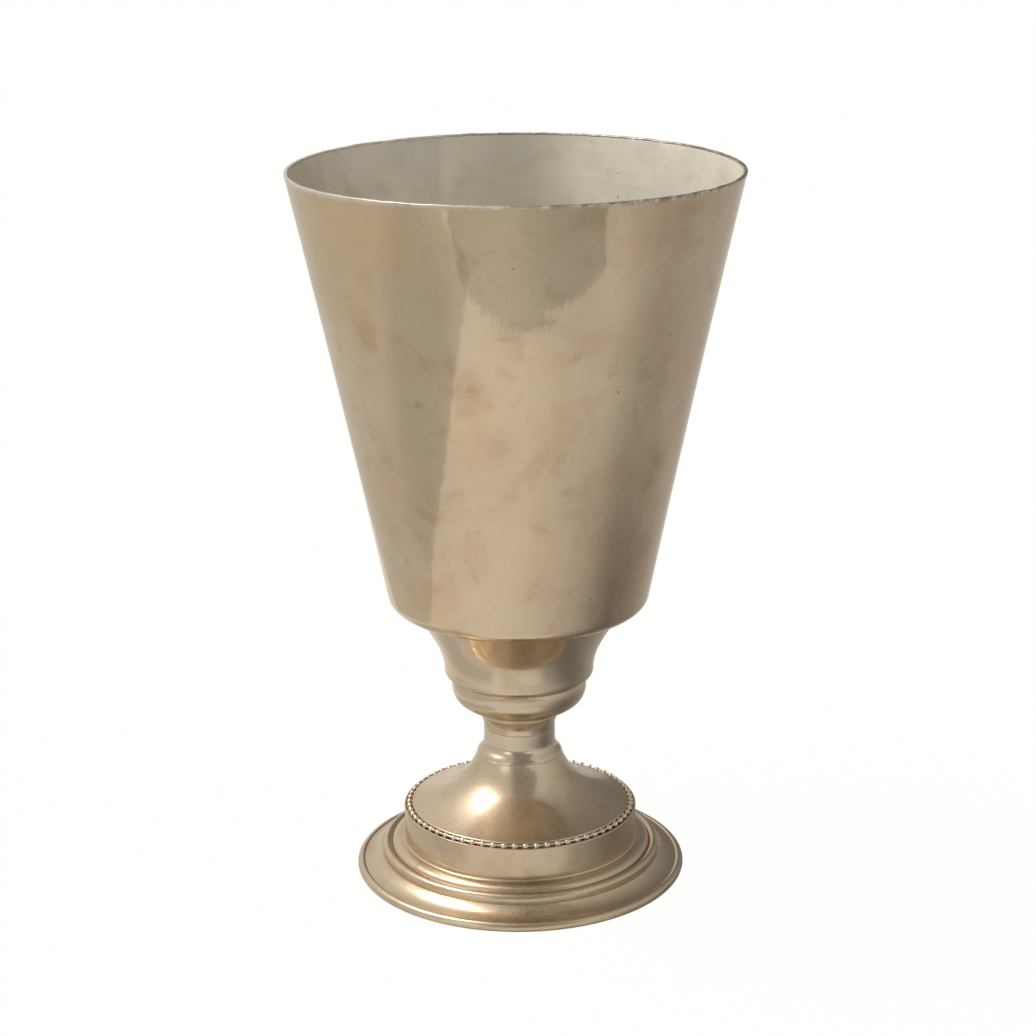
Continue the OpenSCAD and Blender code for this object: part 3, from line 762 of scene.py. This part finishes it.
# ---------------------------------------------------------- drum and steps
step_z = bottom("foot_drum")
lip_h = top("foot_drum") - drum_top
drum = [(drum_r - 0.9, step_z), (drum_r, step_z), (drum_r, drum_top + lip_h - 0.15),
        (drum_r - 0.12, drum_top + lip_h), (drum_r - 0.38, drum_top + lip_h), (drum_r - 0.5, drum_top + lip_h - 0.15),
        (drum_r - 0.5, drum_top + shelf_h), (skirt_r + eps, drum_top + shelf_h), (skirt_r + eps, drum_top),
        (drum_r - 4.8, drum_top), (drum_r - 4.8, drum_top - 0.8),
        (drum_r - 1.2, drum_top - 0.8), (drum_r - 0.9, drum_top - 1.1)]
put(lathe("foot_drum_band", refine(soften(drum, 0.12, True, 20), 1.0, True), True, SEG, hand(0.035, 11.0, 71)),
    "stand", M_FOOT, "polished_nickel", "foot_drum")

ring_z = bottom("foot_step_upper")
tread_z = 8.9
nose_r = drum_r + 3.8
up = [(drum_r - 3.8, ring_z)] + \
    flip(curve((drum_r + 0.5, tread_z), (drum_r + 2.4, tread_z - 0.02), (nose_r - 0.25, tread_z - 0.55),
               (nose_r, ring_z), 28)) + \
    arc((drum_r + 0.5, step_z), 0.5, -98, -180, 8) + [(drum_r - 3.8, step_z)]
put(lathe("foot_step_with_cove", soften(tidy(up, True), 0.08, True, 30), True, SEG, hand(0.03, 12.0, 83)),
    "stand", M_FOOT, "polished_nickel", "foot_step_upper")

under_z = bottom("foot_step_lower")
tr = 1.35
tc = (drum_r + 5.1, under_z + tr)
lo_step = [(drum_r + 0.2, under_z), (tc[0] + tr, under_z)] + arc(tc, tr, 0, 118, 24) + \
    [(nose_r + 0.08, ring_z + 0.1), (nose_r + 0.02, ring_z), (drum_r + 0.2, ring_z)]
put(lathe("foot_half_round_ring", soften(tidy(lo_step, True), 0.05, True, 40), True, SEG, hand(0.03, 12.0, 97)),
    "stand", M_FOOT, "polished_nickel", "foot_step_lower")

ft = 0.7
roll_r = 1.35
rc = (foot_r - roll_r, roll_r - 0.08)
slope = curve((tc[0] + tr, under_z), (tc[0] + tr + 1.2, under_z - 1.25), (rc[0] - 2.9, rc[1] + 1.42),
              (rc[0] - 0.62, rc[1] + 1.19), 28)
slope_under = beside(slope, -ft)
fl = [(drum_r + 0.2, under_z)] + slope + arc(rc, roll_r, 128, -150, 56) + arc(rc, roll_r - ft, -150, 96, 40) + \
    flip([q for q in slope_under if q[0] < rc[0] - 1.15 and q[1] < under_z - ft]) + \
    [(tc[0] + 0.95, under_z - ft), (drum_r + 0.2, under_z - ft)]
fl = [(r, max(z, 0.0)) for (r, z) in fl]


def flange_warp(r, z, t):
    c, s = math.cos(t), math.sin(t)
    d = 0.035 * swell(c * 46, s * 46, 10.0, 14.0, 2)
    # small knocks in the rolled edge
    k = max(0.0, (r - 43.5) / 3.0)
    d -= 0.09 * k * max(0.0, swell(c * 46, s * 46, 60.0, 5.0, 2) - 0.35)
    return r + d, z


put(lathe("foot_rolled_flange", soften(flip(tidy(fl, True)), 0.1, True, 34), True, SEG, flange_warp),
    "stand", M_FOOT, "polished_nickel", "foot_flange")

wire_r = (top("foot_edge_wire") - bottom("foot_edge_wire")) / 2
put(lathe("foot_edge_core_wire", arc(rc, wire_r, 0, 345, 23), True, SEG), "stand", M_BRASS, "bare_brass",
    "foot_edge_wire")

# --------------------------------------------------------------- fastening
plate_t = 1.2
plate_z = bottom("flat_washer") + 1.6
plate_r = radius("clamp_plate")
plate = [(clear_r, plate_z), (12, plate_z), (13, plate_z - 0.5), (22.6, ring_z - plate_t + 0.6),
         (24, ring_z - plate_t), (plate_r, ring_z - plate_t), (plate_r, ring_z), (24.4, ring_z), (23.4, ring_z + 0.5),
         (13.8, plate_z + plate_t - 0.6), (12.5, plate_z + plate_t), (clear_r, plate_z + plate_t)]
put(lathe("foot_clamp_plate", refine(soften(plate, 0.6, True, 20), 1.0, True), True, 192, hand(0.02, 12.0, 7)),
    "stand", M_BRASS, "bare_brass", "clamp_plate")

# the stud: rolled thread at its lower end, plain shank above
stud_lo, stud_hi = bottom("tie_stud"), top("tie_stud")
PITCH = 1.25
thread_top = 27.0
seg = 48
verts, faces = [], []
rows = []
z = stud_lo
while z < thread_top:
    rows.append(z)
    z += 0.104
rows += [thread_top + 0.6 * i for i in range(1, 4)] + [stud_hi - 0.7, stud_hi]
root_r = stud_r - 0.61
for z in rows:
    for j in range(seg):
        t = 2 * math.pi * j / seg
        if z > thread_top + 0.1:
            rr = stud_r - 0.02 if z < stud_hi - 0.1 else stud_r - 0.7
        else:
            ph = (z / PITCH - t / (2 * math.pi)) % 1.0
            tri = abs(2 * ph - 1)
            rr = root_r + 0.61 * min(1.0, max(0.0, (tri - 0.10) / 0.78))
            rr = min(rr, stud_r - 0.9 + 1.1 * (z - stud_lo) / 1.0)      # run-in chamfer
        verts.append((rr * math.cos(t), rr * math.sin(t), z))
for i in range(len(rows) - 1):
    for j in range(seg):
        k = (j + 1) % seg
        faces.append((i * seg + j, i * seg + k, (i + 1) * seg + k, (i + 1) * seg + j))
faces.append(tuple(reversed(range(seg))))
faces.append(tuple((len(rows) - 1) * seg + j for j in range(seg)))
stud = mesh_object("tie_stud_threaded", verts, faces, False)
me = stud.data
me.polygons.foreach_set("use_smooth", [len(p.vertices) == 4 for p in me.polygons])
me.set_sharp_from_angle(angle=math.radians(50))
put(stud, "cup", M_STEEL, "fastener_steel", "tie_stud")

# hexagon nut, chamfered on both faces, with a countersunk bore
nz0, nz1 = bottom("clamp_nut"), top("clamp_nut")
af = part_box("clamp_nut")[1].y / MM
bore = 4.0
seg = 96


def hexed(t):
    # corners lie on the X axis, as in the CAD
    return af / math.cos(t % (math.pi / 3) - math.pi / 6)


cham = af - 0.2
verts, faces, rings = [], [], []
cone = math.tan(math.radians(29.5))


def ring_of(fn):
    o = len(verts)
    for j in range(seg):
        t = 2 * math.pi * j / seg
        r, z = fn(t)
        verts.append((r * math.cos(t), r * math.sin(t), z))
    rings.append(list(range(o, o + seg)))


ring_of(lambda t: (bore, nz0 + 0.45))
ring_of(lambda t: (bore + 0.5, nz0))
ring_of(lambda t: (cham, nz0))
ring_of(lambda t: (hexed(t), nz0 + (hexed(t) - cham) * cone))
ring_of(lambda t: (hexed(t), nz1 - (hexed(t) - cham) * cone))
ring_of(lambda t: (cham, nz1))
ring_of(lambda t: (bore + 0.5, nz1))
ring_of(lambda t: (bore, nz1 - 0.45))
for i in range(len(rings)):
    a, b = rings[i], rings[(i + 1) % len(rings)]
    for j in range(seg):
        k = (j + 1) % seg
        faces.append((a[j], a[k], b[k], b[j]))
nut = mesh_object("clamp_hex_nut", verts, faces, False)
nut.data.shade_smooth()
nut.data.set_sharp_from_angle(angle=math.radians(24))
put(nut, "nut", M_STEEL, "fastener_steel", "clamp_nut")

# the flat washer and the split washer keep their CAD meshes
for n, mat in (("flat_washer", M_STEEL), ("spring_washer", M_STEEL)):
    o = NODES[n]
    o.data.materials.clear()
    o.data.materials.append(mat)

# hand-soldered fillet that fixes the clamp plate inside the foot
fil = []
solder_c = (plate_r + 0.12, ring_z - 0.55)


def solder_warp(r, z, t):
    c, s = math.cos(t), math.sin(t)
    k = 1.0 + 0.22 * swell(c * 33, s * 33, 5.0, 3.0, 2)
    return solder_c[0] + (r - solder_c[0]) * 1.0, solder_c[1] + (z - solder_c[1]) * k


M_SOLDER = plain_metal("soft_solder", (0.46, 0.45, 0.43), (0.22, 0.21, 0.20), 0.42, lines=0.0, grain=2.0)
solder = arc(solder_c, 0.30, 0, 348, 15)
solder = [(solder_c[0] + (r - solder_c[0]) * 0.45, z) for r, z in solder]
put(lathe("foot_solder_bead", solder, True, 240, solder_warp), "stand", M_SOLDER, "fastener_steel")

# ------------------------------------------------------------------- stage
# Floor: a pale sweep. Reflected in the metal it shows the studio's darker front
# edge and the side turned away from the lamp.
floor_me = bpy.data.meshes.new("studio_floor")
# It is open under the foot, where it can't be seen, so that light from below reaches the hollow foot.
N, R0, R = 192, 0.0430, 6.0
fv = [(q * math.cos(2 * math.pi * j / N), q * math.sin(2 * math.pi * j / N), 0.0) for q in (R0, R) for j in range(N)]
floor_me.from_pydata(fv, [], [(j, N + j, N + (j + 1) % N, (j + 1) % N) for j in range(N)])
floor = bpy.data.objects.new("studio_floor", floor_me)
bpy.context.scene.collection.objects.link(floor)
floor.location.z = -0.00002

fm = bpy.data.materials.new("studio_floor")
fm.use_nodes = True
t = Tree(fm.node_tree)
t.n.clear()
out = t.node("ShaderNodeOutputMaterial")
lp = t.node("ShaderNodeLightPath")
co = t.node("ShaderNodeTexCoord").outputs["Object"]
x, y, z = t.sep(co)
rough_edge = t.math("MULTIPLY", t.math("SUBTRACT", t.noise(co, 130.0, 6.0, 0.74, 0.8), 0.5), 0.026)
rho = t.vec("LENGTH", co)
back_of = t.math("MULTIPLY", y, -1.0)
# the sweep's front edge: straight across the middle, bending back on the right, cut off square on both sides
u = t.math("MAXIMUM", t.math("DIVIDE", t.math("SUBTRACT", x, 0.02), 0.215), 0.0)
line = t.math("SUBTRACT", 0.275, t.math("MULTIPLY", t.math("MULTIPLY", u, u), 0.048))
far = t.step(t.math("ADD", t.math("SUBTRACT", back_of, line), t.math("MULTIPLY", rough_edge, 1.7)), -0.0012, 0.0012)
rx = t.math("ADD", 0.241, t.math("MULTIPLY", t.math("SUBTRACT", back_of, 0.225), 0.34))
side = t.math("MULTIPLY", t.step(t.math("SUBTRACT", x, rx), 0.002, -0.002),
              t.step(t.math("ADD", t.math("ADD", x, t.math("MULTIPLY", rough_edge, 0.6)),
                            t.math("MULTIPLY", t.math("MAXIMUM", t.math("SUBTRACT", back_of, 0.265), 0.0), 1.9)),
                     -0.133, -0.129))
patch = t.math("MULTIPLY", far, side)
# left of the object a darker field begins, along a line that bends inwards to the front
v = t.math("MAXIMUM", t.math("DIVIDE", t.math("SUBTRACT", back_of, 0.10), 0.18), 0.0)
xb = t.math("ADD", -0.163, t.math("MULTIPLY", t.math("MULTIPLY", v, v), 0.032))
xb = t.math("ADD", xb, t.math("MULTIPLY", t.step(back_of, 0.085, 0.0), 0.030))
field = t.step(t.math("ADD", t.math("SUBTRACT", x, xb), t.math("MULTIPLY", rough_edge, 0.9)), 0.003, -0.004)
field = t.math("MULTIPLY", field, t.step(back_of, 0.297, 0.287))
lx = t.math("DIVIDE", t.math("ADD", x, 0.240), 0.110)
ly = t.math("DIVIDE", t.math("ADD", y, 0.150), 0.130)
lobe = t.step(t.math("SQRT", t.math("ADD", t.math("MULTIPLY", lx, lx), t.math("MULTIPLY", ly, ly))), 1.35, 0.55)
left = t.step(x, -0.14, -0.30)
# light falls off away from the lamp
shade = t.step(x, -0.06, 0.20, 1.04, 0.80)
shade = t.math("MULTIPLY", shade, t.mixf(patch, 1.0, 0.68))
shade = t.math("MULTIPLY", shade, t.mixf(t.math("MAXIMUM", field, left), 1.0, 0.74))
shade = t.math("MULTIPLY", shade, t.mixf(t.math("MULTIPLY", lobe, field), 1.0, 0.83))
# the object's own soft shadow: a dim ring round the foot and a broad fall-off to the right
ring = t.math("MULTIPLY", t.step(rho, 0.056, 0.064), t.step(rho, 0.118, 0.086))
phi = t.math("MULTIPLY", t.math("ARCTAN2", x, back_of), 57.29578)
shade = t.math("MULTIPLY", shade, t.mixf(t.math("MULTIPLY", ring, t.step(phi, -32.0, -52.0)), 1.0, 0.77))
# painted light: the floor close in front of the foot is made brighter
front = t.math("MULTIPLY", t.step(phi, -46.0, -26.0), t.step(phi, 46.0, 22.0))
front = t.math("MULTIPLY", front, t.step(rho, 0.112, 0.082))
wedge = t.math("MULTIPLY", t.step(phi, 50.0, 82.0), t.step(phi, 179.0, 140.0))
shade = t.math("MULTIPLY", shade, t.mixf(wedge, 1.0, 0.72))
sx = t.math("DIVIDE", t.math("SUBTRACT", x, 0.092), 0.225)
sy = t.math("DIVIDE", t.math("SUBTRACT", y, 0.0), 0.17)
cast = t.step(t.math("SQRT", t.math("ADD", t.math("MULTIPLY", sx, sx), t.math("MULTIPLY", sy, sy))), 1.25, 0.05)
shade = t.math("MULTIPLY", shade, t.mixf(cast, 1.0, 0.64))
shade = t.math("MULTIPLY", shade, t.mixf(front, 1.0, 1.60))
seen = t.mix(shade, (0.0, 0.0, 0.0), (0.94, 0.93, 0.915))
dif = t.node("ShaderNodeBsdfDiffuse")
t.put(dif.inputs["Color"], seen)
pale = t.node("ShaderNodeBsdfDiffuse")
pale.inputs["Color"].default_value = (0.93, 0.925, 0.915, 1.0)
glow = t.node("ShaderNodeEmission")
glow.inputs["Color"].default_value = (1.0, 0.998, 0.992, 1.0)
glow.inputs["Strength"].default_value = 1.0
cam_mix = t.node("ShaderNodeMixShader")
cam_mix.inputs[0].default_value = 0.985
t.l.new(pale.outputs[0], cam_mix.inputs[1])
t.l.new(glow.outputs[0], cam_mix.inputs[2])
ray_mix = t.node("ShaderNodeMixShader")
t.l.new(lp.outputs["Is Camera Ray"], ray_mix.inputs[0])
t.l.new(dif.outputs[0], ray_mix.inputs[1])
t.l.new(cam_mix.outputs[0], ray_mix.inputs[2])
# seen from below, the floor is clear, so that the underside can be looked at
clear = t.node("ShaderNodeBsdfTransparent")
back_mix = t.node("ShaderNodeMixShader")
t.l.new(t.node("ShaderNodeNewGeometry").outputs["Backfacing"], back_mix.inputs[0])
t.l.new(ray_mix.outputs[0], back_mix.inputs[1])
t.l.new(clear.outputs[0], back_mix.inputs[2])
t.l.new(back_mix.outputs[0], out.inputs["Surface"])
floor_me.materials.append(fm)

# World: a soft studio. One large lamp high on the left, paler walls on that
# side, dimmer ones to the right; plain white where the camera looks past it all.
world = bpy.data.worlds.new("studio")
bpy.context.scene.world = world
world.use_nodes = True
t = Tree(world.node_tree)
t.n.clear()
out = t.node("ShaderNodeOutputWorld")
lp = t.node("ShaderNodeLightPath")
d = t.node("ShaderNodeTexCoord").outputs["Generated"]
dx, dy, dz = t.sep(d)


def toward(az, el):
    a, e = math.radians(az), math.radians(el)
    return (math.sin(a) * math.cos(e), -math.cos(a) * math.cos(e), math.sin(e))


az = t.math("MULTIPLY", t.math("ARCTAN2", dx, t.math("MULTIPLY", dy, -1.0)), 57.29578)
el = t.math("MULTIPLY", t.math("ARCSINE", dz), 57.29578)


def oval(c_az, c_el, half_w, half_h):
    """Distance from the middle of an oval lamp, 1 at its edge; large behind it."""
    c = Vector(toward(c_az, c_el))
    right = Vector((0, 0, 1)).cross(c).normalized()
    up = c.cross(right)
    a = t.math("DIVIDE", t.vec("DOT_PRODUCT", d, tuple(right)), math.sin(math.radians(half_w)))
    b = t.math("DIVIDE", t.vec("DOT_PRODUCT", d, tuple(up)), math.sin(math.radians(half_h)))
    e = t.math("SQRT", t.math("ADD", t.math("MULTIPLY", a, a), t.math("MULTIPLY", b, b)))
    behind = t.math("LESS_THAN", t.vec("DOT_PRODUCT", d, tuple(c)), 0.0)
    return t.math("ADD", e, t.math("MULTIPLY", behind, 10.0))


# walls: pale on the left, a dark gap at the front, a dimmer pale screen on the right
# that fades towards the back, and a bright strip low behind on the left
wall_light = t.mixf(t.step(az, -30.0, -16.0), 0.76, 0.31)
screen = t.math("SUBTRACT", 0.80, t.math("MULTIPLY", t.math("SUBTRACT", az, 58.0), 0.0056))
screen = t.mixf(t.step(el, 60.0, 72.0), t.math("MAXIMUM", screen, 0.2), 0.34)
edge_az = t.mixf(t.step(el, 24.0, 8.0), 41.0, 12.0)
wall_light = t.mixf(t.step(t.math("SUBTRACT", az, edge_az), 0.0, 8.0), wall_light, screen)
low = t.math("MULTIPLY", t.step(el, 14.0, 4.0), t.step(az, -148.0, -160.0))
wall_light = t.math("ADD", wall_light, t.math("MULTIPLY", low, 0.25))
wall_light = t.mixf(t.step(el, 66.0, 82.0), wall_light, 0.42)
small = oval(-37, 12, 12, 11)
wall_light = t.math("ADD", wall_light, t.math("MULTIPLY", t.step(small, 1.2, 0.7), 0.9))
big = oval(-101, 58, 13.5, 13.5)
wall_light = t.math("ADD", wall_light, t.math("MULTIPLY", t.step(big, 1.25, 0.70), 8.0))
wall_light = t.math("ADD", wall_light, t.math("MULTIPLY", t.step(big, 2.1, 0.9), 0.40))
bg = t.node("ShaderNodeBackground")
bg.inputs["Color"].default_value = (1.0, 0.99, 0.975, 1.0)
t.put(bg.inputs["Strength"], wall_light)
white = t.node("ShaderNodeBackground")
white.inputs["Color"].default_value = (1.0, 1.0, 1.0, 1.0)
white.inputs["Strength"].default_value = 0.99
mx = t.node("ShaderNodeMixShader")
t.l.new(lp.outputs["Is Camera Ray"], mx.inputs[0])
t.l.new(bg.outputs[0], mx.inputs[1])
t.l.new(white.outputs[0], mx.inputs[2])
t.l.new(mx.outputs[0], out.inputs["Surface"])

# ------------------------------------------------------------------ camera
cam = bpy.data.cameras.new("camera")
cam.sensor_width = 36.0
cam.lens = 2589.1 / 1036 * 36.0
cam.clip_start = 0.01
cam_ob = bpy.data.objects.new("camera", cam)
bpy.context.scene.collection.objects.link(cam_ob)
cam_ob.location = (0.0, -0.6809, 0.3161)
cam_ob.rotation_euler = (Matrix.Rotation(math.radians(90 - 17.37), 3, "X") @
                         Matrix.Rotation(math.radians(-0.405), 3, "Z")).to_euler()
bpy.context.scene.camera = cam_ob

bpy.context.scene.view_settings.view_transform = "Standard"
bpy.context.scene.view_settings.look = "None"

bpy.context.view_layer.update()
